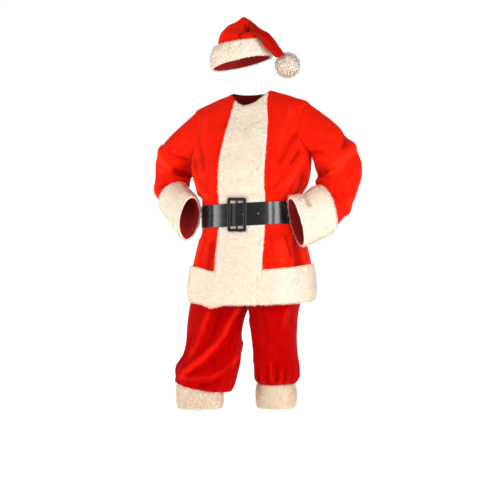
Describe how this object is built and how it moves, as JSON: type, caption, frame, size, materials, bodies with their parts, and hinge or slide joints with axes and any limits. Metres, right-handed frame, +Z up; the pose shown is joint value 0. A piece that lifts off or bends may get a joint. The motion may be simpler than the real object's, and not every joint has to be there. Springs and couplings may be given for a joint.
{
  "type": "santa suit",
  "caption": "Santa suit in its worn pose: belted red jacket with plush trim, gathered knee trousers with plush cuffs and a folded pompom hat, each a hollow shell.",
  "frame": {"origin": "centre of the neck opening, between the wearer's shoulders, which hold the jacket up", "axes": "+Z up, the wearer faces -Y, +X to the wearer's left"},
  "size_m": [0.8733, 0.4183, 1.5783],
  "materials": {
    "velour": "bright red brushed plush cloth",
    "velour_dark": "deeper red velour",
    "plush": "cream fleece pile",
    "vinyl": "glossy black vinyl imitation leather",
    "buckle": "glossy black-brown plastic"
  },
  "bodies": {
    "root": {"jacket_front_left": "velour", "jacket_front_right": "velour", "jacket_back": "velour", "jacket_sleeve_left": "velour", "jacket_sleeve_right": "velour", "front_plush_upper": "plush", "front_plush_under": "plush", "hem_plush": "plush", "cuff_plush_left": "plush", "cuff_plush_right": "plush", "trouser_front_left": "velour_dark", "trouser_back_left": "velour_dark", "trouser_front_right": "velour_dark", "trouser_back_right": "velour_dark", "trouser_waistband": "velour_dark", "trouser_cuff_left": "plush", "trouser_cuff_right": "plush", "hat_crown": "velour", "hat_band": "plush", "hat_pompom": "plush", "belt_strap": "vinyl", "belt_buckle": "buckle", "belt_prong": "buckle"}
  },
  "joints": []
}
